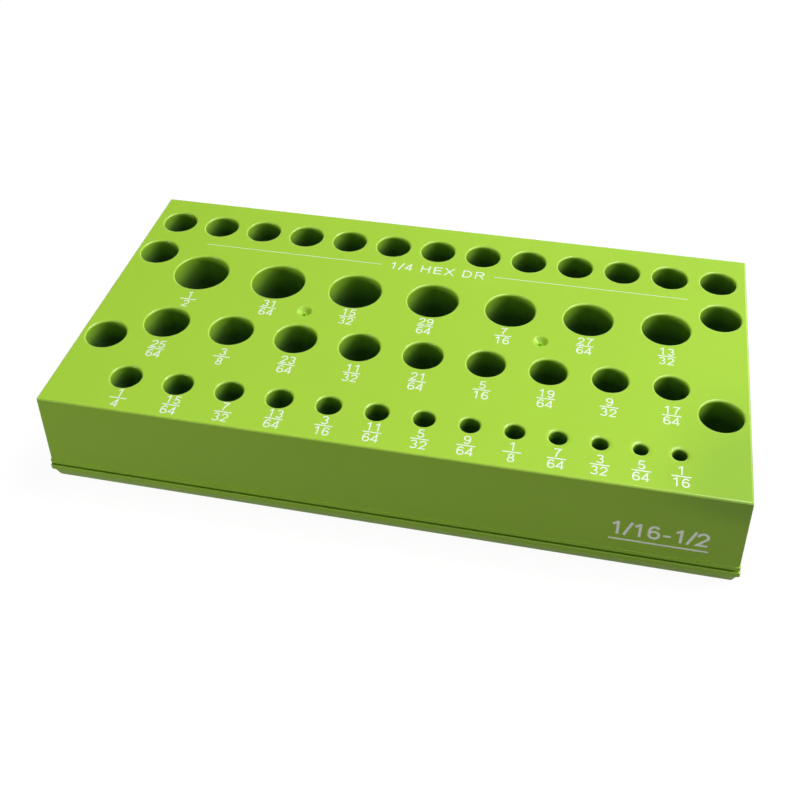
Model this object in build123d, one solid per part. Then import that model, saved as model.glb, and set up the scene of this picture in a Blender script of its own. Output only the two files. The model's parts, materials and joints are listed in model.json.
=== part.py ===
from build123d import *
import math
import os

# Magnetic drill bit holder: a low moulded rack that stands on a steel bench or tool chest.
# Drill bits stand in round sockets, one for each size from 1/16 to 1/2 inch in steps of 1/64.
# Behind them is a row of equal sockets for 1/4 inch hexagon shanks, and two spare sockets are
# at each end. A steel sheet is the floor of all the sockets, and magnets in the base plate hold
# the rack down.
# Millimetres. The origin is at the centre of the underside, +X runs along the rack, +Y runs to
# the back and +Z is up.

# Overall sizes
top_length = 157.0         # moulded body, end to end at its top face
top_width = 82.8           # moulded body, front to back at its top face
height = 25.4              # underside of the base plate to the top face
body_bottom = 4.9          # height of the body's open lower edge
side_draft = 0.52          # how far each outer wall leans out on its way down, to leave the mould
corner_radius = 1.2        # upright corners of the body
top_edge_radius = 0.9      # rounded edge of the top face
lip_height = 1.0           # thickened band along the body's lower edge
lip_depth = 0.15           # how far that band stands out of the wall

# Walls of the moulding
deck_thickness = 2.6       # top deck
wall_thickness = 2.2       # outer walls
cavity_corner = 0.8        # inner corners of the walls
socket_wall = 1.35         # tubes that hang from the deck and end on the floor sheet
rib_thickness = 1.4        # upright ribs that tie the tubes to each other and to the end walls
rib_step = 0.6             # how much higher a rib ends than the tubes
rim_bevel = 0.5            # bevelled mouth of every socket

# Rows of sockets for bits. The webs of plastic between the holes of a row get a little narrower
# with the bits.
row_pitch = 20.48
back_row_margin = 10.45    # back edge of the top face to the middle of the hexagon row
row_start_margin = 13.57   # left end of the top face to the edge of a row's first hole
row_finish_margin = 13.4   # right end of the top face to the edge of its last hole
front_finish_margin = 13.75        # the same in the front row
web_step = 0.018           # each web is this much narrower than the one before
inch = 25.4
sizes_per_inch = 64
large_bits = range(32, 25, -1)       # 1/2 to 13/32 inch, in 64ths
middle_bits = range(25, 16, -1)      # 25/64 to 17/64 inch
small_bits = range(16, 3, -1)        # 1/4 to 1/16 inch
large_clearance = 1.08     # hole over bit, on the diameter
middle_clearance = 1.00
small_clearance = 0.88
tiny_bit = 8               # bits of 1/8 inch and less
tiny_clearance = 1.15      # have wider holes on the same centres
least_hole = 3.15          # the thinnest pin that the mould can carry

# Row of hexagon sockets
hex_count = 13
hex_hole = 8.75            # takes a 1/4 inch hexagon, 7.33 across its corners
hex_end_margin = 6.9       # end of the top face to the middle of the first hole

# Spare sockets
spare_hole = 9.7
spare_inset = 6.3          # end of the top face to the middle of the hole
spare_spacing = 34.14      # between the two at one end

# Sunk marks where the plastic was fed in, two shallow bowls with a torn nib in each
gate_spacing = 58.1
gate_shift = 1.5           # they stand this far to the right of the middle
gate_diameter = 3.7
gate_depth = 0.5
gate_nib_diameter = 0.9
gate_nib_height = 0.35

# Base plate, a shallow moulded tray
seam = 0.75                # open joint line between the body's lip and the flange
flange_step = 0.2          # how far the flange stands out of the lip
flange_thickness = 1.1
foot_step = 0.3            # how far the foot steps in below the flange
foot_lean = 1.0            # how far the foot leans in from there to the underside
foot_radius = 0.8          # rounding along the underside
floor_thickness = 2.2
tray_wall = 3.2            # rim of the tray, from the flange's edge inwards
tongue_thickness = 1.5     # rim that stands up inside the body's walls
tongue_clearance = 0.15

# Floor sheet, a stamped steel plate that closes the sockets from below, so that sharp points
# don't bore into the plastic
sheet_thickness = 0.8
sheet_clearance = 0.2              # inside the body's walls
sheet_hole_clearance = 0.6         # over a screw boss, on the diameter

# Magnets, each a plated disc in a steel cup that is glued into a well of the base plate
magnet_columns = 4         # in a row at the front and a row at the back
magnet_end_margin = 32.0   # end of the top face to the middle of the first magnet
magnet_side_margin = 15.4  # long edge of the top face to the middle of a row of magnets
magnet_diameter = 15.0
magnet_thickness = 3.0
magnet_bevel = 0.2
magnet_glue = 0.1          # between a magnet and the wall of its cup
magnet_sink = 0.1          # magnet's face above the cup's edge
cup_wall = 1.2
cup_bevel = 0.3
cup_glue = 0.1             # between a cup and its well
cup_sink = 0.2             # cup's edge above the underside
well_wall = 1.3
well_roof = 1.3            # the floor sheet lies on it

# Screws, driven from below through the base plate into bosses of the body
screw_columns = 3          # in a row behind the front sockets and a row before the back ones
screw_end_margin = 16.5    # end of the top face to the middle of the first screw
screw_row_distance = 9.12  # middle of that row of sockets to the middle of the screws
screw_core = 2.4           # shank inside its thread
screw_length = 11.0        # below the head
screw_tip = 1.8            # length of the point
screw_tip_diameter = 0.8
screw_head_diameter = 5.6
screw_head_height = 1.9
screw_head_bevel = 0.4
screw_head_sink = 0.3      # head's face above the underside
screw_cross = 3.2          # cross recess, from end to end
screw_cross_width = 0.9
screw_cross_depth = 1.1
screw_hole_clearance = 0.9         # hole in the base plate over the core, on the diameter
counterbore_clearance = 0.5        # over the head, on the diameter
pilot_clearance = 0.1              # boss hole over the core, on the diameter
pilot_spare = 1.5          # the boss hole goes this much deeper than the screw
seat_thickness = 2.2       # plastic between the head and the boss
boss_wall = 1.8
counterbore_wall = 1.3

# Heights that follow from them
deck_bottom = height - deck_thickness
flange_top = body_bottom - seam
flange_bottom = flange_top - flange_thickness
head_seat = screw_head_sink + screw_head_height
boss_seat = head_seat + seat_thickness
cup_height = cup_wall + magnet_thickness + magnet_sink
well_ceiling = cup_sink + cup_height
sheet_bottom = well_ceiling + well_roof
tube_bottom = sheet_bottom + sheet_thickness
boss_diameter = screw_core + pilot_clearance + 2 * boss_wall

# Outlines that follow from them, as how far each lies outside the top face's own outline
wall_height = height - body_bottom
lean_angle = math.degrees(math.atan(side_draft / wall_height))
lip_offset = side_draft + lip_depth
flange_offset = lip_offset + flange_step
foot_top_offset = flange_offset - foot_step
foot_angle = math.degrees(math.atan(foot_lean / flange_bottom))
cavity_offset = side_draft - wall_thickness


def outline(offset, radius):
    """The top face's rectangle, grown by offset on every side."""
    return RectangleRounded(top_length + 2 * offset, top_width + 2 * offset, radius)


def block(offset, radius, bottom, top, taper=0.0):
    """A block that stands on such an outline at the height bottom and leans in by taper degrees."""
    face = Pos(0, 0, bottom) * outline(offset, radius)
    return extrude(face, amount=top - bottom, taper=taper)


def upright(diameter, bottom, top, x=0.0, y=0.0):
    """A cylinder between two heights."""
    place = Pos(x, y, (bottom + top) / 2)
    return place * Cylinder(diameter / 2, top - bottom)


def box_between(low, high):
    """A box from its lowest corner to its highest."""
    centre = [(a + b) / 2 for a, b in zip(low, high)]
    return Pos(*centre) * Box(*[b - a for a, b in zip(low, high)])


def spread(count, end_margin):
    """Places in equal steps along the rack, of which the first and last are this far from its ends."""
    first = end_margin - top_length / 2
    step = -2 * first / (count - 1)
    return [first + i * step for i in range(count)]


def row_y(row):
    """The middle of a row, counted from the back."""
    return top_width / 2 - back_row_margin - row * row_pitch


def bit_row(bits, clearance, row, finish_margin):
    """Sockets of one row of drill bits, as (x, y, hole diameter)."""
    diameters = [bit * inch / sizes_per_inch for bit in bits]
    spaces = [diameter + clearance for diameter in diameters]
    webs = len(spaces) - 1
    middle_web = (top_length - row_start_margin - finish_margin - sum(spaces)) / webs
    web = middle_web + web_step * (webs - 1) / 2
    sockets = []
    left = row_start_margin - top_length / 2
    for bit, diameter, space in zip(bits, diameters, spaces):
        gap = tiny_clearance if bit <= tiny_bit else clearance
        hole = max(diameter + gap, least_hole)
        sockets.append((left + space / 2, row_y(row), hole))
        left += space + web
        web -= web_step
    return sockets


def hex_row():
    """Equal sockets along the back."""
    return [(x, row_y(0), hex_hole) for x in spread(hex_count, hex_end_margin)]


def spare_sockets():
    """Two sockets at each end."""
    x = top_length / 2 - spare_inset
    y = spare_spacing / 2
    return [(sx * x, sy * y, spare_hole) for sx in (-1, 1) for sy in (-1, 1)]


bit_rows = [
    bit_row(large_bits, large_clearance, 1, row_finish_margin),
    bit_row(middle_bits, middle_clearance, 2, row_finish_margin),
    bit_row(small_bits, small_clearance, 3, front_finish_margin),
]
sockets = hex_row() + sum(bit_rows, []) + spare_sockets()
magnet_row = top_width / 2 - magnet_side_margin
magnet_rows = (-magnet_row, magnet_row)
magnet_places = [(x, y) for y in magnet_rows for x in spread(magnet_columns, magnet_end_margin)]
screw_rows = (row_y(3) + screw_row_distance, row_y(0) - screw_row_distance)
screw_places = [(x, y) for y in screw_rows for x in spread(screw_columns, screw_end_margin)]


def gate_bowl(x, y):
    """What is cut away for a gate mark: the cap of a sphere, less the nib that stands in it."""
    radius = (gate_diameter ** 2 / 4 + gate_depth ** 2) / (2 * gate_depth)
    bowl = Pos(x, y, height - gate_depth + radius) * Sphere(radius)
    nib_top = height - gate_depth + gate_nib_height
    return bowl - upright(gate_nib_diameter, height - gate_depth, nib_top, x, y)


def body_shell():
    """Moulded body: deck, leaning walls, socket tubes, ribs and screw bosses in one piece."""
    shell = block(side_draft, corner_radius + side_draft, body_bottom, height, lean_angle)
    top_edges = shell.faces().sort_by(Axis.Z)[-1].edges()
    shell = fillet(top_edges, top_edge_radius)
    shell += block(lip_offset, corner_radius + lip_offset, body_bottom, body_bottom + lip_height)
    shell -= block(cavity_offset, cavity_corner, body_bottom, deck_bottom, lean_angle)

    # tubes, the ribs through them and the bosses hang from the deck inside the walls
    inner = []
    for x, y, hole in sockets:
        inner.append(upright(hole + 2 * socket_wall, tube_bottom, deck_bottom, x, y))
    rib_end = top_length / 2 + cavity_offset
    for row in range(4):
        y = row_y(row)
        low = (-rib_end, y - rib_thickness / 2, tube_bottom + rib_step)
        high = (rib_end, y + rib_thickness / 2, deck_bottom)
        inner.append(box_between(low, high))
    for x, y in screw_places:
        inner.append(upright(boss_diameter, boss_seat, deck_bottom, x, y))
        row_behind, row_before = (0, 1) if y > 0 else (2, 3)
        low = (x - rib_thickness / 2, row_y(row_before), tube_bottom + rib_step)
        high = (x + rib_thickness / 2, row_y(row_behind), deck_bottom)
        inner.append(box_between(low, high))
    envelope = block(0.0, corner_radius, boss_seat, deck_bottom)
    inner = [piece & envelope for piece in inner]
    shell = shell.fuse(*inner)

    holes = []
    for x, y, hole in sockets:
        holes.append(upright(hole, tube_bottom, height, x, y))
        mouth = Cone(hole / 2, hole / 2 + rim_bevel, rim_bevel)
        holes.append(Pos(x, y, height - rim_bevel / 2) * mouth)
    pilot_top = head_seat + screw_length + pilot_spare
    for x, y in screw_places:
        holes.append(upright(screw_core + pilot_clearance, boss_seat, pilot_top, x, y))
    for side in (-1, 1):
        holes.append(gate_bowl(gate_shift + side * gate_spacing / 2, (row_y(1) + row_y(2)) / 2))
    return shell.cut(*holes)


def base_plate():
    """Moulded tray with a flange, wells for the magnets and counterbores for the screws."""
    foot_bottom_offset = foot_top_offset - foot_lean
    corner = corner_radius + foot_bottom_offset
    tray = block(foot_bottom_offset, corner, 0, flange_bottom, -foot_angle)
    tray = fillet(tray.faces().sort_by(Axis.Z)[0].edges(), foot_radius)
    tray += block(flange_offset, corner_radius + flange_offset, flange_bottom, flange_top)
    tray -= block(flange_offset - tray_wall, cavity_corner, floor_thickness, flange_top)

    tongue_offset = cavity_offset - tongue_clearance
    tongue = block(tongue_offset, cavity_corner, floor_thickness, sheet_bottom)
    tongue_inside = tongue_offset - tongue_thickness
    tongue -= block(tongue_inside, cavity_corner, floor_thickness, sheet_bottom)
    raised = [tongue]
    holes = []
    cup_diameter = magnet_diameter + 2 * (magnet_glue + cup_wall)
    well_diameter = cup_diameter + 2 * cup_glue
    for x, y in magnet_places:
        raised.append(upright(well_diameter + 2 * well_wall, 0, sheet_bottom, x, y))
        holes.append(upright(well_diameter, 0, well_ceiling, x, y))
    counterbore = screw_head_diameter + counterbore_clearance
    for x, y in screw_places:
        raised.append(upright(counterbore + 2 * counterbore_wall, 0, boss_seat, x, y))
        holes.append(upright(counterbore, 0, head_seat, x, y))
        holes.append(upright(screw_core + screw_hole_clearance, head_seat, boss_seat, x, y))
    return tray.fuse(*raised).cut(*holes)


def floor_sheet():
    """Flat steel sheet on the tongue and the wells, with a hole round each screw boss."""
    offset = cavity_offset - sheet_clearance
    sheet = block(offset, cavity_corner, sheet_bottom, tube_bottom)
    hole = boss_diameter + sheet_hole_clearance
    holes = [upright(hole, sheet_bottom, tube_bottom, x, y) for x, y in screw_places]
    return sheet.cut(*holes)


def magnet_cup():
    """Deep-drawn steel cup, open downwards, that closes the magnet's field at its back."""
    diameter = magnet_diameter + 2 * (magnet_glue + cup_wall)
    cup = upright(diameter, cup_sink, cup_sink + cup_height)
    cup = chamfer(cup.faces().sort_by(Axis.Z)[-1].edges(), cup_bevel)
    return cup - upright(diameter - 2 * cup_wall, cup_sink, well_ceiling - cup_wall)


def magnet():
    """Plated disc magnet, its back against the cup."""
    top = well_ceiling - cup_wall
    disc = upright(magnet_diameter, top - magnet_thickness, top)
    return chamfer(disc.edges().filter_by(GeomType.CIRCLE), magnet_bevel)


def screw():
    """Self-tapping screw, head down. Its thread is left out."""
    head = upright(screw_head_diameter, screw_head_sink, head_seat)
    head = chamfer(head.faces().sort_by(Axis.Z)[0].edges(), screw_head_bevel)
    shank_top = head_seat + screw_length - screw_tip
    shank = upright(screw_core, head_seat, shank_top)
    point = Cone(screw_core / 2, screw_tip_diameter / 2, screw_tip)
    point = Pos(0, 0, shank_top + screw_tip / 2) * point
    depth = screw_head_sink + screw_cross_depth
    half = screw_cross / 2
    slot = screw_cross_width / 2
    cross = box_between((-half, -slot, 0), (half, slot, depth))
    cross += box_between((-slot, -half, 0), (slot, half, depth))
    return head + shank + point - cross


nodes = {"body_shell": body_shell(), "base_plate": base_plate(), "floor_sheet": floor_sheet()}
for number, (x, y) in enumerate(magnet_places, 1):
    nodes[f"magnet_cup_{number}"] = Pos(x, y, 0) * magnet_cup()
    nodes[f"magnet_{number}"] = Pos(x, y, 0) * magnet()
for number, (x, y) in enumerate(screw_places, 1):
    nodes[f"screw_{number}"] = Pos(x, y, 0) * screw()

os.makedirs("parts", exist_ok=True)
for name, shape in nodes.items():
    export_step(shape, f"parts/{name}.step")
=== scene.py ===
"""Looks of a magnetic drill bit holder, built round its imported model.

Metres. The origin is at the centre of the underside, +X runs along the rack, +Y runs to the back
and +Z is up. The sections follow the rack as it is put together, from the moulded body to the screws
that hold it, and then come the camera, the floor and the lights.
"""

import json
import math

import bpy
import numpy as np
from mathutils import Matrix, Vector
from mathutils.geometry import delaunay_2d_cdt


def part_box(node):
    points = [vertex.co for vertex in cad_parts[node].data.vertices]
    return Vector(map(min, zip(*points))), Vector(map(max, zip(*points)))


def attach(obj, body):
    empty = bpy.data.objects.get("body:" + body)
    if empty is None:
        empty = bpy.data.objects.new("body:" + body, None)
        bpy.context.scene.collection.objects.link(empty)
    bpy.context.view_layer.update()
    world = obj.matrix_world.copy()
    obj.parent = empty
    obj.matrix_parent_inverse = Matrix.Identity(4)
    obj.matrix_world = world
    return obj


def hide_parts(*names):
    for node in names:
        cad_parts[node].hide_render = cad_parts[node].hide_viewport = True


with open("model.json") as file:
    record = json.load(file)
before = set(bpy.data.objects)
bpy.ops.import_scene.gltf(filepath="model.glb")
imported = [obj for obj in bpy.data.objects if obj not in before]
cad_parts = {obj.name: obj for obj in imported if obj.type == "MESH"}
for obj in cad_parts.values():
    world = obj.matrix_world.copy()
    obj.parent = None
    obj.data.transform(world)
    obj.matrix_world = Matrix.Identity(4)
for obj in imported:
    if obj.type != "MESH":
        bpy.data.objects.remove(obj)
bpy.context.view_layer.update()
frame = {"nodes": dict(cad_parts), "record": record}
mm = 0.001


# Body shell
# One injection moulding in gloss green plastic: a deck, four walls that lean out towards a lip
# along their lower edge, and 46 round sockets with rounded mouths. The two shallow dishes in the
# deck are where the plastic was fed in.
body_low, body_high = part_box("body_shell")
_, sheet_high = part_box("floor_sheet")

wall_lean = 0.52 * mm            # each wall's foot stands this far outside its top
lip_stand = 0.15 * mm            # the lip stands out of the wall
lip_height = 1.0 * mm
inner_side = 1.25 * mm           # of the walls, measured inwards from the top face's outline
corner_radius = 0.4 * mm         # upright corners
least_corner = 0.3 * mm          # corners of the edges further in
edge_radius = 0.55 * mm          # along the top face
mouth_radius = 0.5 * mm          # rounded mouth of a socket
foot_round = 0.04 * mm           # lower mouth of a socket
lip_round = 0.048 * mm           # where the lip stands out of the wall
inner_round = 0.04 * mm          # where the walls meet the floor sheet
small_round = 0.12 * mm          # every other edge
# flat strips between a rounding and the triangles that fill the face beside it
deck_border = 0.02 * mm
ceiling_border = 0.09 * mm
mouth_border = 0.01 * mm
foot_border = 0.05 * mm
boss_border = 0.2 * mm
dish_border = 0.2 * mm

top = body_high.z
body_foot = 4.9 * mm             # lower edge of the walls
ceiling = sheet_high.z           # the body's underside lies on the floor sheet
lip_top = body_foot + lip_height
lip_offset = wall_lean + lip_stand
half_length = body_high.x - lip_offset
half_width = body_high.y - lip_offset

boss_radius = 3.05 * mm
boss_foot = body_low.z
pilot_radius = 1.25 * mm
pilot_top = 14.7 * mm

dish_places = [(-27.55 * mm, 0.23 * mm), (30.55 * mm, 0.23 * mm)]
dish_radius = 1.85 * mm
dish_depth = 1.3 * mm
nib_radius = 0.35 * mm           # of the torn gate in the dish's middle, at its top
nib_height = 0.85 * mm
nib_taper = 0.1 * mm
dish_rounds = (0.12 * mm, 0.05 * mm, 0.2 * mm)  # of the nib's top and foot, and the dish's brink

socket_sides = ((4.5 * mm, 112), (2.6 * mm, 80), (0.0, 56))  # a socket wider than this has so many
cap_share = 0.5                  # a flat round end is closed from this share of its radius inwards
sockets = [m for m in frame["record"]["mounts"] if m["kind"] == "bore"]


def node_places(kind):
    """The places of all nodes of one kind, seen from above: the middles of their boxes."""
    names = [name for name in frame["nodes"] if name.startswith(kind) and name[len(kind) :].isdigit()]
    boxes = [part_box(name) for name in sorted(names)]
    return [((low.x + high.x) / 2, (low.y + high.y) / 2) for low, high in boxes]


screw_places = node_places("screw_")


def rounded_profile(corners, radii, steps=6):
    """A line through the corners, each rounded by an arc of its radius.

    An arc starts radius x tan(half the turn) before its corner and has its centre square to the line
    there. Returns the points and their normals, which point to the left of the way along the line.
    """
    corners = np.array(corners, float)
    radii = np.array(radii, float)[:, None]
    ways = np.diff(corners, axis=0)
    ways /= np.linalg.norm(ways, axis=1)[:, None]
    before, after = ways[:-1], ways[1:]
    turns = np.arctan2(
        before[:, 0] * after[:, 1] - before[:, 1] * after[:, 0], (before * after).sum(1)
    )
    left = ways @ np.array([[0.0, 1.0], [-1.0, 0.0]])
    side = np.sign(turns)[:, None]
    reach = radii * np.tan(np.abs(turns) / 2)[:, None]
    centres = corners[1:-1] - before * reach + side * radii * left[:-1]
    angles = turns[:, None] * np.linspace(0, 1, steps + 1)
    cosine, sine = np.cos(angles), np.sin(angles)
    x, y = left[:-1, :1], left[:-1, 1:]
    normals = np.stack((x * cosine - y * sine, x * sine + y * cosine), axis=2)
    arcs = centres[:, None] - (side * radii)[:, None] * normals
    points = np.concatenate((corners[:1], arcs.reshape(-1, 2), corners[-1:]))
    normals = np.concatenate((left[:1], normals.reshape(-1, 2), left[-1:]))
    return points, normals


class Skin:
    """The points, normals and faces of one closed mesh, put together surface by surface."""

    def __init__(self):
        self.points = np.zeros((0, 3))
        self.normals = np.zeros((0, 3))
        self.faces = []
        self.shades = {}

    def add_points(self, points, normals):
        """Adds points with their normals, and returns their numbers."""
        start = len(self.points)
        self.points = np.concatenate((self.points, points.reshape(-1, 3)))
        self.normals = np.concatenate((self.normals, normals.reshape(-1, 3)))
        return np.arange(start, len(self.points))

    def carry(self, profile, slopes, middles, ways):
        """Carries a profile round a loop and returns the numbers of its first and last loop.

        Point j of loop i is middle (i, j) plus way j times the profile's distance i, at its height i.
        Its normal is way j times the slope's first part, with the second part upwards.
        """
        loops, around = len(profile), len(ways)
        flat = middles + profile[:, :1, None] * ways
        heights = np.broadcast_to(profile[:, 1:, None], (loops, around, 1))
        outward = slopes[:, :1, None] * ways
        upward = np.broadcast_to(slopes[:, 1:, None], (loops, around, 1))
        return self.join_loops(
            np.concatenate((flat, heights), axis=2), np.concatenate((outward, upward), axis=2)
        )

    def join_loops(self, points, normals):
        """Joins closed loops of points by quads and returns the numbers of the first and last loop."""
        numbers = self.add_points(points, normals).reshape(points.shape[:2])
        next_one = np.roll(numbers, -1, axis=1)
        quads = np.stack((numbers[:-1], numbers[1:], next_one[1:], next_one[:-1]), axis=2)
        self.faces += quads.reshape(-1, 4).tolist()
        return numbers[0], numbers[-1]

    def turn(self, profile, slopes, place, around):
        """Turns a profile of (distance, height) about an upright axis."""
        angles = np.linspace(0, 2 * math.pi, around, endpoint=False)
        ways = np.column_stack((np.cos(angles), np.sin(angles)))
        return self.carry(profile, slopes, np.array(place)[:2], ways)

    def frame_round(self, profile, slopes, corner_steps=10):
        """Carries a profile of (offset, height) round the rack.

        The loop at an offset is the top face's outline, grown by it on every side. Its corners are
        arcs of corner_radius, less the offset inwards, and never less than least_corner.
        """
        radii = np.maximum(corner_radius + np.minimum(profile[:, 0], 0), least_corner)
        angles = np.linspace(0, math.pi / 2, corner_steps + 1)
        angles = (angles + np.arange(4)[:, None] * math.pi / 2).ravel()
        ways = np.column_stack((np.cos(angles), np.sin(angles)))
        signs = np.repeat([(1, 1), (-1, 1), (-1, -1), (1, -1)], corner_steps + 1, axis=0)
        halves = np.array((half_length, half_width)) + (profile[:, 0] - radii)[:, None]
        arcs = np.column_stack((radii, profile[:, 1]))
        return self.carry(arcs, slopes, signs * halves[:, None], ways)

    def plate(self, outside, holes, up):
        """Fills the flat face inside one loop and outside others with triangles (Delaunay)."""
        loops = [outside, *holes]
        numbers = np.concatenate(loops)
        ends = np.cumsum([len(loop) for loop in loops])
        starts = ends - [len(loop) for loop in loops]
        flat = [Vector(p) for p in self.points[numbers, :2].tolist()]
        inside = [list(range(a, b)) for a, b in zip(starts.tolist(), ends.tolist())]
        made = delaunay_2d_cdt(flat, [], inside, 1, 1e-9)
        came_from = [numbers[origin[0]] for origin in made[3]]
        for triangle, loops_round in zip(made[2], made[5]):
            if set(loops_round) == {0}:
                face = [int(came_from[i]) for i in triangle]
                self.faces.append(face if up else face[::-1])

    def cap(self, loop, up):
        """Closes a round loop by triangles about its middle."""
        middle = self.points[loop].mean(0)[None]
        centre = int(self.add_points(middle, self.normals[loop[:1]])[0])
        pairs = zip(loop.tolist(), np.roll(loop, -1).tolist())
        self.faces += [[centre, a, b] if up else [centre, b, a] for a, b in pairs]

    def note_shades(self, start, surface, reach):
        """Keeps how far below the surface each point from number start on lies, in shares of a reach."""
        numbers = np.arange(start, len(self.points))
        shares = (surface - self.points[start:, 2]) / reach
        self.shades.update(zip(numbers.tolist(), shares.tolist()))

    def finished(self, name, material):
        """Makes the mesh object, shaded smooth with the normals that were worked out."""
        mesh = bpy.data.meshes.new(name)
        mesh.from_pydata(self.points.tolist(), [], self.faces)
        mesh.polygons.foreach_set("use_smooth", np.ones(len(mesh.polygons), bool))
        mesh.normals_split_custom_set_from_vertices(self.normals.tolist())
        if self.shades:
            shades = np.zeros(len(self.points), np.float32)
            shades[list(self.shades)] = list(self.shades.values())
            attribute = mesh.attributes.new("socket_shade", "FLOAT", "POINT")
            attribute.data.foreach_set("value", shades)
        mesh.materials.append(material)
        piece = bpy.data.objects.new(name, mesh)
        bpy.context.scene.collection.objects.link(piece)
        return piece


def linear(red, green, blue):
    """The linear colour of three screen values from 0 to 255."""
    screen = np.array((red, green, blue)) / 255
    light = np.where(screen <= 0.04045, screen / 12.92, ((screen + 0.055) / 1.055) ** 2.4)
    return (*light.tolist(), 1.0)


def feed(owner, socket, value):
    """Links a node's input to an output, or gives it a value of its own."""
    if isinstance(value, bpy.types.NodeSocket):
        owner.node_tree.links.new(value, socket)
    else:
        socket.default_value = value


def set_inputs(owner, node, **inputs):
    """Feeds a node of a material or world. An input's name has _ for each blank."""
    for name, value in inputs.items():
        feed(owner, node.inputs[name.replace("_", " ")], value)
    return node


def add_node(owner, kind, **inputs):
    """Adds a node to a material or world and feeds it."""
    return set_inputs(owner, owner.node_tree.nodes.new(kind), **inputs)


def combine(owner, kind, operation, first, second):
    """The number that one operation makes of two numbers or two vectors."""
    node = add_node(owner, kind)
    node.operation = operation
    feed(owner, node.inputs[0], first)
    feed(owner, node.inputs[1], second)
    return node.outputs["Value"]


def ramp(owner, value, ends, levels, smooth=False):
    """A number that goes from one level to another while a value goes from end to end."""
    (start, end), (low, high) = ends, levels
    node = add_node(
        owner,
        "ShaderNodeMapRange",
        Value=value,
        From_Min=start,
        From_Max=end,
        To_Min=low,
        To_Max=high,
    )
    if smooth:
        node.interpolation_type = "SMOOTHSTEP"
    return node.outputs["Result"]


def mix_colours(owner, share, first, second, blend="MIX"):
    """A colour that goes from the first to the second, or is multiplied by it, by a share."""
    node = add_node(owner, "ShaderNodeMix", Factor=share)
    node.data_type = "RGBA"
    node.blend_type = blend
    feed(owner, node.inputs[6], first)
    feed(owner, node.inputs[7], second)
    return node.outputs[2]


def scaled(colour, share):
    """A colour made darker or lighter."""
    return [part * share for part in colour[:3]] + [1.0]


def relief(owner, height, distance, **normal):
    """The normals of a skin that rises by a height from 0 to 1 times a distance."""
    node = add_node(owner, "ShaderNodeBump", Height=height, Strength=1.0, Distance=distance, **normal)
    return node.outputs["Normal"]


def new_material(name):
    """A new material, its shader, and the place on the piece as its patterns read it."""
    material = bpy.data.materials.new(name)
    material.use_nodes = True
    shader = material.node_tree.nodes["Principled BSDF"]
    return material, shader, add_node(material, "ShaderNodeTexCoord").outputs["Object"]


def moulded_plastic(name, colour, shallow_shade_colour, deep_shade_colour, roughness):
    """Gloss plastic: its colour clouds a little, its skin is slightly wavy and finely grained.

    In the sockets it soon goes over to painted shade, a pale colour and then a dark one deep down,
    that stands in for the shade there. The deck is painted a little darker at its front right corner,
    a painted shade, and it is sunk in a ring round each of the smallest sockets.
    """
    material, shader, place = new_material(name)
    clouds = add_node(
        material, "ShaderNodeTexNoise", Vector=place, Scale=cloud_scale, Detail=2.0
    ).outputs["Fac"]
    darker, lighter = scaled(colour, 1 - cloud_spread), scaled(colour, 1 + cloud_spread)
    clouded = mix_colours(material, clouds, darker, lighter)

    # painted shade: the deck is painted darker towards its front right corner
    stretched = add_node(material, "ShaderNodeMapping", Vector=place, Scale=corner_stretch)
    corner = np.array((half_length, -half_width, top)) * corner_stretch
    away = combine(
        material, "ShaderNodeVectorMath", "DISTANCE", stretched.outputs["Vector"], corner
    )
    near_corner = ramp(material, away, (corner_near, corner_far), (1.0, 0.0), smooth=True)
    corner_shaded = mix_colours(material, near_corner, clouded, corner_shade, "MULTIPLY")

    # painted shade: the sockets' walls are painted darker with depth, in place of the shade down there
    shade = add_node(material, "ShaderNodeAttribute")
    shade.attribute_name = "socket_shade"
    depth = shade.outputs["Fac"]
    painted_shade = mix_colours(material, depth, shallow_shade_colour, deep_shade_colour)
    shade_cover = ramp(material, depth, (0.0, shade_onset), (0.0, 1.0))
    shaded_colour = mix_colours(material, shade_cover, corner_shaded, painted_shade)

    level = clouds
    for x, y, radius in sunk_sockets:
        away = combine(material, "ShaderNodeVectorMath", "DISTANCE", place, (x, y, top))
        ends = (radius + sink_near, radius + sink_far)
        rise = ramp(material, away, ends, (0.0, 1.0), smooth=True)
        level = combine(material, "ShaderNodeMath", "MULTIPLY", level, rise)
    waves = add_node(material, "ShaderNodeTexNoise", Vector=place, Scale=wave_scale, Detail=1.0)
    grain = add_node(material, "ShaderNodeTexNoise", Vector=place, Scale=grain_scale, Detail=2.0)
    sunk = relief(material, level, sink_depth)
    wavy = relief(material, waves.outputs["Fac"], wave_height, Normal=sunk)
    grained = relief(material, grain.outputs["Fac"], grain_height, Normal=wavy)
    set_inputs(material, shader, Base_Color=shaded_colour, Roughness=roughness, IOR=1.5, Normal=grained)
    return material


cloud_scale = 28.0               # clouds, waves and grains per metre
cloud_spread = 0.035             # the clouds' colour differs by this share
wave_scale = 90.0
wave_height = 0.06 * mm
grain_scale = 2600.0
grain_height = 0.0025 * mm
shade_reach = 1.2                # the depth at which the painted shade is darkest, in radii
shade_onset = 0.2                 # the share of it at which the painted shade covers the plastic
corner_stretch = (1.5, 0.9, 4.0)  # how fast the corner's painted shade fades along x, y and z
corner_near = 10 * mm
corner_far = 36 * mm
# painted shade at the front right corner, as a share of each colour
corner_shade = (0.78, 0.83, 0.80, 1.0)
sink_near = 0.3 * mm             # a sunk ring's bottom and its brink, from the socket's wall
sink_far = 1.1 * mm
sink_depth = 0.14 * mm
smallest = sorted(sockets, key=lambda socket: socket["dims"]["r_mm"])[:4]
sunk_sockets = [(*s["pos_m"][:2], s["dims"]["r_mm"] * mm) for s in smallest]
# the last two colours are the sockets' painted shade, near the mouth and deep down
green_plastic = moulded_plastic(
    "green_plastic", linear(166, 213, 36), linear(156, 204, 60), linear(76, 114, 56), 0.18
)

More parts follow.
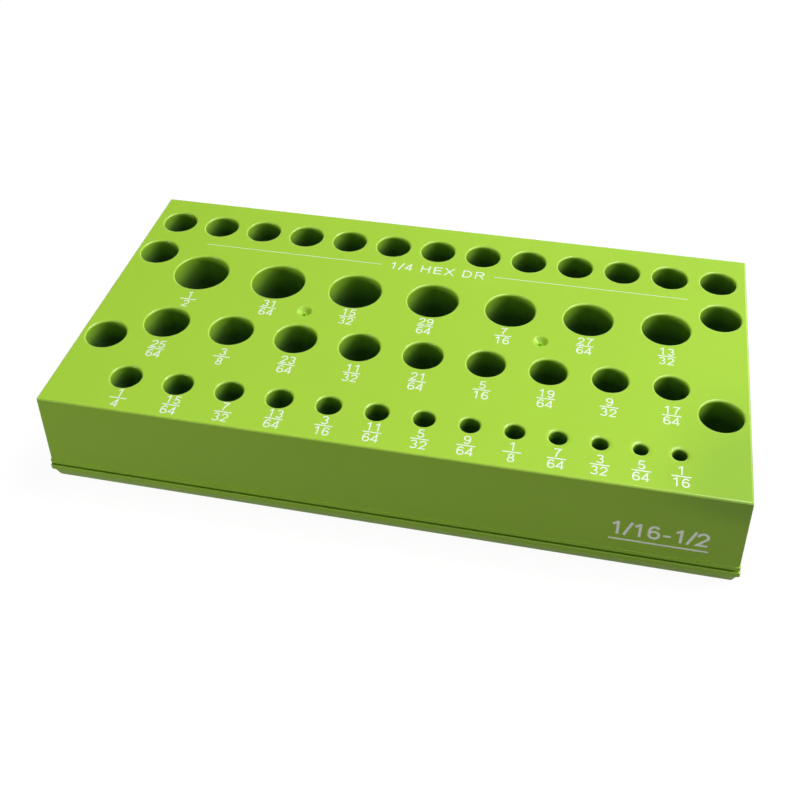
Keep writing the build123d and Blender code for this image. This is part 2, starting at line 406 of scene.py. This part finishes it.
body = Skin()
wall_at_lip = wall_lean * (top - lip_top) / (top - body_foot)
wall = rounded_profile(
    [
        (-edge_radius - deck_border, top),
        (0.0, top),
        (wall_at_lip, lip_top),
        (lip_offset, lip_top),
        (lip_offset, body_foot),
        (-inner_side, body_foot),
        (-inner_side, ceiling),
        (-inner_side - ceiling_border, ceiling),
    ],
    [edge_radius, lip_round, lip_round, small_round, small_round, inner_round],
    steps=8,
)
deck_loop, ceiling_loop = body.frame_round(*wall)
deck_holes, ceiling_holes = [], []
for socket in sockets:
    radius = socket["dims"]["r_mm"] * mm
    sides = next(count for least, count in socket_sides if radius > least)
    profile = rounded_profile(
        [
            (radius + foot_border, ceiling),
            (radius, ceiling),
            (radius, top),
            (radius + mouth_radius + mouth_border, top),
        ],
        [foot_round, mouth_radius],
        steps=8,
    )
    start = len(body.points)
    below, above = body.turn(*profile, socket["pos_m"], sides)
    body.note_shades(start, top, shade_reach * radius)
    ceiling_holes.append(below)
    deck_holes.append(above)
for place in dish_places:
    dish_floor = top - dish_depth
    profile = rounded_profile(
        [
            (nib_taper, dish_floor + nib_height),
            (nib_radius, dish_floor + nib_height),
            (nib_radius + nib_taper, dish_floor),
            (dish_radius, top),
            (dish_radius + dish_border, top),
        ],
        dish_rounds,
    )
    middle, rim = body.turn(*profile, place, 64)
    body.cap(middle, up=True)
    deck_holes.append(rim)
for place in screw_places:
    profile = rounded_profile(
        [
            (boss_radius + boss_border, ceiling),
            (boss_radius, ceiling),
            (boss_radius, boss_foot),
            (pilot_radius, boss_foot),
            (pilot_radius, pilot_top),
            (cap_share * pilot_radius, pilot_top),
        ],
        [small_round] * 4,
        steps=3,
    )
    outside, end = body.turn(*profile, place, 48)
    body.cap(end, up=False)
    ceiling_holes.append(outside)
body.plate(deck_loop, deck_holes, up=True)
body.plate(ceiling_loop, ceiling_holes, up=False)
body_piece = body.finished("moulded_body", green_plastic)
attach(body_piece, "root")
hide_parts("body_shell")


# Size marks
# White ink, pad-printed on the deck in thin upright strokes. Below each bit socket stands its size in
# inches, as a fraction, and between the first two rows the size of the hexagon shanks, in a long line.
stroke_width = 0.12              # shares of a figure's height
figure_advance = 0.776           # from one figure to the next, in the same shares
half_advance = figure_advance / 2
ink_height = 0.018 * mm
ink_step = 0.0015 * mm           # each stroke lies this much above the one before
ink_sink = 0.01 * mm
least_bend = 0.35                # keeps a stroke's edges near it at a sharp bend
digit_height = 2.5 * mm
bar_length = 4.1 * mm
bar_gap = 0.42 * mm              # between a bar and the digits above and below it
line_width = 0.16 * mm
# the print lies a little askew to the sockets: each row has its y, then how far in front of it the
# marks stand at four places along the rack, and how far they stand to the right there, in mm
marks_at = (-60, -20, 20, 60)
row_marks = {
    "large_size_marks": (10.47, (11.18, 10.18, 10.04, 9.94), (0.52, 0.6, -0.48, 0.42)),
    "middle_size_marks": (-10.01, (9.97, 9.3, 9.05, 9.02), (1.21, 0.39, 0.41, 0.27)),
    "small_size_marks": (-30.49, (7.02, 6.45, 6.24, 6.19), (1.01, 0.59, 0.16, 0.43)),
}
title = "1/4 HEX DR"
title_height = 2.9 * mm
title_tracking = 0.115
title_start = -11.2 * mm
title_middle = 22.67 * mm        # its y in the middle of the rack
title_skew = 0.0038              # it lies a little askew to the rack's edges
title_lines = [(-60.8 * mm, -13.2 * mm), (16.0 * mm, 64.1 * mm)]


def title_y(x):
    """The y of the title row's middle at x: a straight line, a little askew."""
    return title_middle + title_skew * x


def arc(x, y, wide, high, start, end, steps=18):
    """An arc of an upright ellipse about (x, y), from one angle to another in degrees."""
    turn = np.radians(np.linspace(start, end, steps + 1))
    return np.column_stack((x + wide * np.cos(turn), y + high * np.sin(turn)))


def path(*parts):
    """Joins points and arcs to one stroke."""
    return np.concatenate([np.atleast_2d(part) for part in parts])


# each figure as its advance and its strokes, in a square of height 1
six = [
    arc(0.40, 0.50, 0.275, 0.44, 40, 200),
    arc(0.39, 0.315, 0.26, 0.255, 0, 360, 30),
]
figures = {
    "0": (figure_advance, [arc(0.388, 0.5, 0.265, 0.44, 0, 360, 36)]),
    "1": (figure_advance, [path((0.16, 0.74), (0.43, 0.94)), path((0.43, 1.0), (0.43, 0.0))]),
    "2": (figure_advance, [path(arc(0.385, 0.69, 0.25, 0.25, 180, -25), (0.12, 0.06), (0.67, 0.06))]),
    "3": (
        figure_advance,
        [arc(0.365, 0.72, 0.22, 0.22, 160, -90), arc(0.37, 0.28, 0.26, 0.225, 90, -160)],
    ),
    "4": (
        figure_advance,
        [path((0.70, 0.27), (0.08, 0.27), (0.52, 0.95)), path((0.52, 1.0), (0.52, 0.0))],
    ),
    "5": (
        figure_advance,
        [path((0.63, 0.94), (0.22, 0.94), (0.155, 0.50), arc(0.37, 0.32, 0.265, 0.26, 140, -160))],
    ),
    "6": (figure_advance, six),
    "7": (figure_advance, [path((0.12, 0.94), (0.67, 0.94), (0.50, 0.70), (0.37, 0.40), (0.31, 0.0))]),
    "8": (
        figure_advance,
        [arc(0.388, 0.73, 0.20, 0.205, 0, 360, 30), arc(0.388, 0.285, 0.25, 0.225, 0, 360, 30)],
    ),
    "9": (figure_advance, [np.array((figure_advance, 1.0)) - stroke for stroke in six]),
    "/": (half_advance, [path((0.0, -0.02), (0.39, 1.02))]),
    "-": (half_advance * 1.5, [path((0.09, 0.36), (0.49, 0.36))]),
    " ": (half_advance, []),
    "H": (
        1.008,
        [
            path((0.16, 1.0), (0.16, 0.0)),
            path((0.84, 1.0), (0.84, 0.0)),
            path((0.16, 0.53), (0.84, 0.53)),
        ],
    ),
    "E": (
        0.93,
        [
            path((0.85, 0.94), (0.17, 0.94), (0.17, 0.06), (0.87, 0.06)),
            path((0.17, 0.52), (0.81, 0.52)),
        ],
    ),
    "X": (0.93, [path((0.07, 1.0), (0.86, 0.0)), path((0.86, 1.0), (0.07, 0.0))]),
    "D": (
        1.008,
        [path((0.17, 0.06), (0.17, 0.94), arc(0.45, 0.50, 0.42, 0.44, 90, -90, 24), (0.17, 0.06))],
    ),
    "R": (
        1.008,
        [
            path((0.17, 0.0), (0.17, 0.94), arc(0.58, 0.715, 0.24, 0.225, 90, -90), (0.17, 0.49)),
            path((0.52, 0.49), (0.88, 0.0)),
        ],
    ),
}


def figure_strokes(text, height, tracking=0.0):
    """The strokes of a line of text that starts at (0, 0), and its width."""
    strokes, at = [], 0.0
    for letter in text:
        advance, parts = figures[letter]
        strokes += [(part + (at, 0)) * height for part in parts]
        at += advance + tracking
    return strokes, (at - tracking) * height


def ribbon(line, width, low, high):
    """A flat ribbon of ink along a line, as four points round its section at each point of the line.

    At a bend its edges lie on the bisector, half the width over the cosine of half the turn away.
    """
    ways = np.diff(line, axis=0)
    ways /= np.linalg.norm(ways, axis=1)[:, None]
    closed = np.allclose(line[0], line[-1])
    before = np.concatenate((ways[-1:] if closed else ways[:1], ways))
    after = np.concatenate((ways, ways[:1] if closed else ways[-1:]))
    left = (before + after) @ np.array([[0.0, 1.0], [-1.0, 0.0]])
    left *= width / 2 / np.maximum(1 + (before * after).sum(1), least_bend)[:, None]
    edges = [line + left, line + left, line - left, line - left]
    heights = np.array((low, high, high, low))
    section = np.stack(edges, axis=1)
    level = np.broadcast_to(heights[None, :, None], (*section.shape[:2], 1))
    return np.concatenate((section, level), axis=2)


def printed(name, strokes, width, material, lay):
    """One mesh of ribbons for all the strokes of a print. lay puts (x, y, height) on the surface."""
    points, faces, count = [], [], 0
    for number, line in enumerate(strokes):
        high = ink_height + ink_step * (number % 4)
        section = ribbon(line, width, -ink_sink, high)
        rows = len(section)
        numbers = count + np.arange(rows * 4).reshape(rows, 4)
        beside = np.roll(numbers, -1, axis=1)
        quads = np.stack((numbers[:-1], beside[:-1], beside[1:], numbers[1:]), axis=2)
        faces += quads.reshape(-1, 4).tolist()
        faces += [numbers[0, ::-1].tolist(), numbers[-1].tolist()]
        points.append(section.reshape(-1, 3))
        count += rows * 4
    mesh = bpy.data.meshes.new(name)
    mesh.from_pydata(lay(np.concatenate(points)).tolist(), [], faces)
    mesh.materials.append(material)
    piece = bpy.data.objects.new(name, mesh)
    bpy.context.scene.collection.objects.link(piece)
    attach(piece, "root")
    return piece


def on_deck(points):
    """Lays a print on the top face."""
    return points + (0, 0, top)


def printing_ink(name, colour, metal_share=0.0):
    """Matt pad-printing ink that lies a little unevenly. Metal flakes make up a share of it."""
    material, shader, place = new_material(name)
    blots = add_node(
        material, "ShaderNodeTexNoise", Vector=place, Scale=blot_scale, Detail=2.0
    ).outputs["Fac"]
    tint = mix_colours(material, blots, scaled(colour, 0.94), colour)
    uneven = relief(material, blots, blot_height)
    set_inputs(
        material, shader, Base_Color=tint, Metallic=metal_share, Roughness=0.45, Normal=uneven
    )
    return material


blot_scale = 1400.0              # per metre
blot_height = 0.004 * mm
white_ink = printing_ink("white_ink", linear(240, 250, 232))
for name, (row_y, reaches, shifts) in row_marks.items():
    strokes = []
    for socket in sockets:
        x, y, _ = socket["pos_m"]
        if not socket["name"].startswith("socket_") or abs(y - row_y * mm) > mm:
            continue
        above, below = socket["name"].split("_")[1:]
        middle = x + np.interp(x / mm, marks_at, shifts) * mm
        bar_y = y - np.interp(x / mm, marks_at, reaches) * mm
        strokes.append(path((middle - bar_length / 2, bar_y), (middle + bar_length / 2, bar_y)))
        for text, foot in ((above, bar_y + bar_gap), (below, bar_y - bar_gap - digit_height)):
            parts, width = figure_strokes(text, digit_height)
            strokes += [part + (middle - width / 2, foot) for part in parts]
    printed(name, strokes, stroke_width * digit_height, white_ink, on_deck)

parts, _ = figure_strokes(title, title_height, title_tracking)
parts = [part + (title_start, title_y(0) - title_height / 2) for part in parts]
printed("hexagon_row_title", parts, stroke_width * title_height, white_ink, on_deck)
lines = [path((a, title_y(a)), (b, title_y(b))) for a, b in title_lines]
printed("hexagon_row_lines", lines, line_width, white_ink, on_deck)


# Size range on the front
# Silver ink, pad-printed on the leaning front wall near its right end: the sizes of the smallest and
# the largest bit, over a line.
range_text = "1/16-1/2"
range_height = 4.0 * mm
range_width = 0.15               # of a stroke, as a share of the figures' height
range_middle = 61.4 * mm
range_foot = 10.6 * mm
range_line_width = 0.45 * mm
range_line_gap = 1.5 * mm        # below the figures


def on_front(points):
    """Lays a print that is drawn upright in (x, z) on the leaning front wall."""
    x, z, out = points.T
    lean = wall_lean * (top - z) / (top - body_foot)
    return np.column_stack((x, -half_width - lean - out, z))


silver_ink = printing_ink("silver_ink", linear(250, 252, 238), 0.4)
parts, width = figure_strokes(range_text, range_height)
range_start = range_middle - width / 2
parts = [part + (range_start, range_foot) for part in parts]
printed("front_size_range", parts, range_width * range_height, silver_ink, on_front)
line_z = range_foot - range_line_gap
line = path((range_start, line_z), (range_start + width, line_z))
printed("front_size_line", [line], range_line_width, silver_ink, on_front)


# Floor sheet
# A stamped steel sheet between the two mouldings, blackened against rust. It is the floor of every
# socket, where the bits' sharp points would bore into plastic.
def plated_steel(name, colour, roughness, spangle_scale):
    """Plated steel: a metal whose tint and roughness cloud with the plating's spangle."""
    material, shader, place = new_material(name)
    spangle = add_node(material, "ShaderNodeTexVoronoi", Vector=place, Scale=spangle_scale)
    clouds = add_node(material, "ShaderNodeTexNoise", Vector=place, Scale=spangle_scale * 4)
    tint = mix_colours(material, spangle.outputs["Color"], scaled(colour, 0.9), colour)
    spread = (roughness * 0.8, roughness * 1.25)
    clouded = ramp(material, clouds.outputs["Fac"], (0.0, 1.0), spread)
    set_inputs(material, shader, Base_Color=tint, Metallic=1.0, Roughness=clouded)
    return material


sheet_steel = plated_steel("sheet_steel", linear(58, 60, 60), 0.5, 160.0)
sheet_slots = frame["nodes"]["floor_sheet"].data.materials
sheet_slots.clear()
sheet_slots.append(sheet_steel)


# Base plate
# A second green moulding, a shallow tray that closes the rack from below and is held by the screws.
# Its flange shows under a dark open joint, its foot leans in below the flange, and a tongue stands up
# inside the walls. It has a well for each magnet and a sunk hole for each screw.
_, base_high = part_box("base_plate")
flange_offset = base_high.x - half_length
flange_top = 4.4 * mm
flange_bottom = 3.05 * mm
foot_step = 0.3 * mm
foot_lean = 1.0 * mm
tongue_outside = -1.83 * mm
tongue_inside = -3.33 * mm
tray_floor = 2.2 * mm
well_radius = 8.9 * mm
well_ceiling = 4.5 * mm
mound_radius = 10.2 * mm         # over each well
counterbore_radius = 3.05 * mm
head_seat = 2.2 * mm
screw_hole_radius = 1.65 * mm
screw_boss_radius = 4.35 * mm
# roundings, and flat strips beside them, as in the body
foot_radius = 0.8 * mm
nook_round = 0.08 * mm           # under the flange
flange_top_round = 0.2 * mm
well_round = 0.25 * mm
counterbore_round = 0.2 * mm
tray_border = 0.5 * mm
well_border = 0.5 * mm
counterbore_border = 0.4 * mm
mound_border = 0.3 * mm
magnet_places = node_places("magnet_")

base = Skin()
foot_top = flange_offset - foot_step
foot_bottom = foot_top - foot_lean
rim = rounded_profile(
    [
        (foot_bottom - 2 * foot_radius, 0.0),
        (foot_bottom, 0.0),
        (foot_top, flange_bottom),
        (flange_offset, flange_bottom),
        (flange_offset, flange_top),
        (tongue_outside, flange_top),
        (tongue_outside, base_high.z),
        (tongue_inside, base_high.z),
        (tongue_inside, tray_floor),
        (tongue_inside - tray_border, tray_floor),
    ],
    [foot_radius, nook_round, small_round, flange_top_round] + [small_round] * 4,
)
# this profile and those of the wells and screw holes run with the plastic on their left, so they are
# taken backwards
underside_loop, tray_loop = base.frame_round(rim[0][::-1], -rim[1][::-1])[::-1]
underside_holes, tray_holes = [], []
for place in magnet_places:
    pocket = rounded_profile(
        [
            (cap_share * well_radius, well_ceiling),
            (well_radius, well_ceiling),
            (well_radius, 0.0),
            (well_radius + well_border, 0.0),
        ],
        [small_round, well_round],
        steps=4,
    )
    middle, rim_loop = base.turn(pocket[0][::-1], -pocket[1][::-1], place, 96)[::-1]
    base.cap(middle, up=False)
    underside_holes.append(rim_loop)
    mound = rounded_profile(
        [
            (cap_share * mound_radius, base_high.z),
            (mound_radius, base_high.z),
            (mound_radius, tray_floor),
            (mound_radius + mound_border, tray_floor),
        ],
        [small_round, small_round],
        steps=3,
    )
    middle, rim_loop = base.turn(*mound, place, 96)
    base.cap(middle, up=True)
    tray_holes.append(rim_loop)
for place in screw_places:
    hole = rounded_profile(
        [
            (screw_boss_radius + mound_border, tray_floor),
            (screw_boss_radius, tray_floor),
            (screw_boss_radius, boss_foot),
            (screw_hole_radius, boss_foot),
            (screw_hole_radius, head_seat),
            (counterbore_radius, head_seat),
            (counterbore_radius, 0.0),
            (counterbore_radius + counterbore_border, 0.0),
        ],
        [small_round] * 5 + [counterbore_round],
        steps=4,
    )
    below, above = base.turn(hole[0][::-1], -hole[1][::-1], place, 64)
    underside_holes.append(below)
    tray_holes.append(above)
base.plate(tray_loop, tray_holes, up=True)
base.plate(underside_loop, underside_holes, up=False)
base_piece = base.finished("moulded_base", green_plastic)
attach(base_piece, "root")
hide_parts("base_plate")


# Magnets
# Eight plated discs, each glued into a drawn steel cup that is open downwards and sits in a well of
# the base plate. The cup leads the disc's field round to the bench.
magnet_low, magnet_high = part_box("magnet_1")
cup_low, cup_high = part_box("magnet_cup_1")
magnet_radius = (magnet_high.x - magnet_low.x) / 2
cup_radius = (cup_high.x - cup_low.x) / 2
cup_bore = magnet_radius + 0.1 * mm  # with the glue round the disc
cup_back = 1.2 * mm              # thickness of its floor
cup_round = 0.6 * mm             # drawn over the punch
cup_lip_round = 0.15 * mm
cup_floor_round = 0.05 * mm
magnet_round = 0.25 * mm
cup_steel = plated_steel("cup_steel", linear(196, 197, 199), 0.3, 500.0)
magnet_plating = plated_steel("magnet_plating", linear(214, 213, 208), 0.16, 900.0)
for number, place in enumerate(magnet_places, 1):
    cup = Skin()
    profile = rounded_profile(
        [
            (cap_share * cup_radius, cup_high.z),
            (cup_radius, cup_high.z),
            (cup_radius, cup_low.z),
            (cup_bore, cup_low.z),
            (cup_bore, cup_high.z - cup_back),
            (cap_share * cup_radius, cup_high.z - cup_back),
        ],
        [cup_round, cup_lip_round, cup_lip_round, cup_floor_round],
    )
    back, floor_ring = cup.turn(*profile, place, 96)
    cup.cap(back, up=True)
    cup.cap(floor_ring, up=False)
    cup_piece = cup.finished(f"drawn_cup_{number}", cup_steel)
    disc = Skin()
    profile = rounded_profile(
        [
            (cap_share * magnet_radius, magnet_high.z),
            (magnet_radius, magnet_high.z),
            (magnet_radius, magnet_low.z),
            (cap_share * magnet_radius, magnet_low.z),
        ],
        [magnet_round, magnet_round],
    )
    back, face = disc.turn(*profile, place, 96)
    disc.cap(back, up=True)
    disc.cap(face, up=False)
    disc_piece = disc.finished(f"disc_magnet_{number}", magnet_plating)
    for piece, node, slot in (
        (cup_piece, f"magnet_cup_{number}", "cup_steel"),
        (disc_piece, f"magnet_{number}", "magnet_plating"),
    ):
        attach(piece, "root")
        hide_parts(node)


# Screws
# Six zinc-plated self-tapping screws with cross recesses, driven up through the base plate into the
# body's bosses.
screw_low, screw_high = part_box("screw_1")
head_radius = (screw_high.x - screw_low.x) / 2
core_radius = 1.2 * mm
crest = 0.42 * mm                # the thread stands out of the core
crest_share = 0.45               # of a turn's height
thread_pitch = 1.25 * mm
point_length = 1.8 * mm
point_radius = 0.4 * mm
neck_border = 0.3 * mm           # of the seat, closed round the thread
seat_round = 0.15 * mm           # the head's upper and lower edge
head_round = 0.55 * mm
face_border = 0.9 * mm
cross_half = 1.6 * mm
cross_half_width = 0.45 * mm
cross_round = 0.12 * mm
cross_depth = 1.1 * mm
cross_taper = 0.72               # the recess's size at its bottom, as a share of that at its mouth
screw_steel = plated_steel("screw_steel", linear(186, 187, 190), 0.28, 700.0)


def cross_outline():
    """A cross of four equal arms with rounded corners, counterclockwise from its right end."""
    long, short = cross_half, cross_half_width
    arm = np.array([(long, short), (short, short), (short, long)])
    ends = [(long, 0.0)]
    turned = (arm, arm[::-1] * (-1, 1), -arm, arm[::-1] * (1, -1))
    corners = np.concatenate((ends, *turned, ends))
    points, normals = rounded_profile(corners, np.full(len(corners) - 2, cross_round), steps=3)
    return points[:-1], -normals[:-1]


def thread_loops(low, high, around=28, steps=110):
    """A tapering core with a helical ridge, whose height is a triangle wave of turn and height."""
    angles = np.linspace(0, 2 * math.pi, around, endpoint=False)[None]
    heights = np.linspace(low, high, steps + 1)[:, None]
    phase = (heights / thread_pitch - angles / 2 / math.pi) % 1.0
    ridge = np.clip(1 - np.abs(phase - 0.5) / crest_share * 2, 0, 1)
    taper = np.clip((high - heights) / point_length, 0, 1)
    start = np.clip((heights - low) / thread_pitch, 0, 1)
    core = point_radius + (core_radius - point_radius) * taper
    radii = core + crest * ridge * taper * start
    points = np.stack(
        (radii * np.cos(angles), radii * np.sin(angles), heights + 0 * angles), axis=2
    )
    along = np.gradient(points, axis=0)
    across = np.roll(points, -1, axis=1) - np.roll(points, 1, axis=1)
    normals = np.cross(across, along)
    normals /= np.linalg.norm(normals, axis=2)[:, :, None]
    return points, normals


cross_points, cross_normals = cross_outline()
for number, place in enumerate(screw_places, 1):
    screw = Skin()
    profile = rounded_profile(
        [
            (core_radius + neck_border, head_seat),
            (head_radius, head_seat),
            (head_radius, screw_low.z),
            (head_radius - face_border, screw_low.z),
        ],
        [seat_round, head_round],
    )
    neck, face = screw.turn(*profile, place, 64)
    points, normals = thread_loops(head_seat, screw_high.z)
    first, last = screw.join_loops(points[::-1] + (*place, 0.0), normals[::-1])
    screw.cap(first, up=True)
    screw.plate(neck, [last], up=True)
    mouth = np.column_stack((place + cross_points, np.full(len(cross_points), screw_low.z)))
    bottom = np.column_stack((place + cross_points * cross_taper, mouth[:, 2] + cross_depth))
    inward = np.column_stack((-cross_normals, np.zeros(len(cross_normals))))
    bottom_loop, mouth_loop = screw.join_loops(
        np.stack((bottom, mouth)), np.stack((inward, inward))
    )
    screw.plate(bottom_loop, [], up=False)
    screw.plate(face, [mouth_loop], up=False)
    screw_piece = screw.finished(f"cross_head_screw_{number}", screw_steel)
    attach(screw_piece, "root")
    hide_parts(f"screw_{number}")


# Camera
# It stands at the photograph's own viewpoint, in front of the rack and a little to the right, and
# looks down on it. The lens is shifted as the photograph is cropped.
camera_place = Vector((43.24, -200.41, 197.62)) * mm
camera_azimuth = math.radians(12.835)
camera_elevation = math.radians(39.207)
camera_roll = math.radians(-1.084)
camera_lens = 49.938             # for a sensor 36 wide
camera_shift = (-0.00509, -0.1125)
camera_data = bpy.data.cameras.new("camera")
camera_data.sensor_width = 36.0
camera_data.lens = camera_lens
camera_data.shift_x, camera_data.shift_y = camera_shift
camera_data.clip_start = 10 * mm
camera = bpy.data.objects.new("camera", camera_data)
camera.matrix_world = (
    Matrix.Translation(camera_place)
    @ Matrix.Rotation(camera_azimuth, 4, "Z")
    @ Matrix.Rotation(math.pi / 2 - camera_elevation, 4, "X")
    @ Matrix.Rotation(camera_roll, 4, "Z")
)
bpy.context.scene.collection.objects.link(camera)
bpy.context.scene.camera = camera


# Floor
# A wide white sheet below the rack. It glows white to the camera, with a trace of shadow. Its
# reflection in the plastic has a share of that glow, and it lights the rack as a grey card would.
floor_reach = 3.0
floor_drop = 0.05 * mm
floor_glow = 0.95
glow_shading = (0.08, 0.08, 0.08, 1)
card_grey = (0.17, 0.17, 0.17, 1)
mirrored_share = 0.34
floor_signs = ((-1, -1), (1, -1), (1, 1), (-1, 1))
floor_corners = [(x * floor_reach, y * floor_reach, 0) for x, y in floor_signs]
floor_mesh = bpy.data.meshes.new("floor")
floor_mesh.from_pydata(floor_corners, [], [(0, 1, 2, 3)])
floor = bpy.data.objects.new("floor", floor_mesh)
floor.location.z = -floor_drop
bpy.context.scene.collection.objects.link(floor)
floor_material = bpy.data.materials.new("floor")
floor_material.use_nodes = True
floor_material.node_tree.nodes.clear()
ray = add_node(floor_material, "ShaderNodeLightPath")
shading = add_node(floor_material, "ShaderNodeBsdfDiffuse", Color=glow_shading)
glow = add_node(floor_material, "ShaderNodeEmission", Strength=floor_glow)
white = add_node(floor_material, "ShaderNodeAddShader")
feed(floor_material, white.inputs[0], shading.outputs["BSDF"])
feed(floor_material, white.inputs[1], glow.outputs["Emission"])
card = add_node(floor_material, "ShaderNodeBsdfDiffuse", Color=card_grey)
mirrored = combine(
    floor_material, "ShaderNodeMath", "MULTIPLY", ray.outputs["Is Glossy Ray"], mirrored_share
)
white_share = combine(
    floor_material, "ShaderNodeMath", "MAXIMUM", ray.outputs["Is Camera Ray"], mirrored
)
sheet = add_node(floor_material, "ShaderNodeMixShader", Fac=white_share)
feed(floor_material, sheet.inputs[1], card.outputs["BSDF"])
feed(floor_material, sheet.inputs[2], white.outputs["Shader"])
add_node(floor_material, "ShaderNodeOutputMaterial", Surface=sheet.outputs["Shader"])
floor_mesh.materials.append(floor_material)


# Lights
# A studio: the background is white to the camera and lights the rack only a little. In reflections it
# is brighter upwards and to the right, as softboxes make it, and brightest low down, where white walls
# stand. A large softbox hangs to the right and behind, with a weaker one at the side and a faint fill.
sky_way = (0.58, 0.0, 2.6)       # the sky grows brighter along this way
sky_ends = (0.92, 2.67)
sky_levels = (0.25, 2.0)
wall_way = (-0.35, 0.0, 1.0)     # the walls end at a height along this way
wall_ends = (0.36, 0.44)
wall_levels = (2.5, 0.0)
world_light = 0.05
world = bpy.data.worlds.new("studio")
world.use_nodes = True
bpy.context.scene.world = world
ray = add_node(world, "ShaderNodeLightPath")
way = add_node(world, "ShaderNodeTexCoord").outputs["Generated"]
up_sky = combine(world, "ShaderNodeVectorMath", "DOT_PRODUCT", way, sky_way)
up_wall = combine(world, "ShaderNodeVectorMath", "DOT_PRODUCT", way, wall_way)
sky = ramp(world, up_sky, sky_ends, sky_levels)
walls = ramp(world, up_wall, wall_ends, wall_levels)
mirrored = combine(world, "ShaderNodeMath", "MAXIMUM", sky, walls)
unseen = add_node(
    world, "ShaderNodeMix", Factor=ray.outputs["Is Glossy Ray"], A=world_light, B=mirrored
)
strength = add_node(
    world,
    "ShaderNodeMix",
    Factor=ray.outputs["Is Camera Ray"],
    A=unseen.outputs["Result"],
    B=1.0,
)
set_inputs(
    world,
    world.node_tree.nodes["Background"],
    Color=(1, 1, 1, 1),
    Strength=strength.outputs["Result"],
)


def area_light(name, place, aim, size, power):
    """An oblong soft light at a place in metres, turned to a point. Its power is in watts."""
    data = bpy.data.lights.new(name, "AREA")
    data.shape = "RECTANGLE"
    data.size, data.size_y = size
    data.energy = power
    light = bpy.data.objects.new(name, data)
    light.location = place
    light.rotation_euler = (Vector(aim) - Vector(place)).to_track_quat("-Z", "Y").to_euler()
    bpy.context.scene.collection.objects.link(light)


key_place = (0.38, 0.22, 0.90)
area_light("key", key_place, (0, 0, 0), (0.5, 0.5), 8.2)
area_light("side", (0.90, 0.15, 0.40), (0, 0, 0), (0.4, 0.3), 3.4)
area_light("fill", (-0.50, -0.50, 0.10), (0, 0, 0.01), (0.3, 0.1), 1.5)

# a soft spot in the key's place that lifts the middle of the deck's front half
spot_aim = Vector((-0.008, -0.05, top))
spot_data = bpy.data.lights.new("spot", "SPOT")
spot_data.energy = 7.0
spot_data.spot_size = math.radians(13.5)
spot_data.spot_blend = 0.7
spot_data.shadow_soft_size = 0.15
spot = bpy.data.objects.new("spot", spot_data)
spot.location = key_place
spot.rotation_euler = (spot_aim - spot.location).to_track_quat("-Z", "Y").to_euler()
spot.visible_glossy = False
bpy.context.scene.collection.objects.link(spot)

bpy.context.scene.view_settings.view_transform = "Standard"
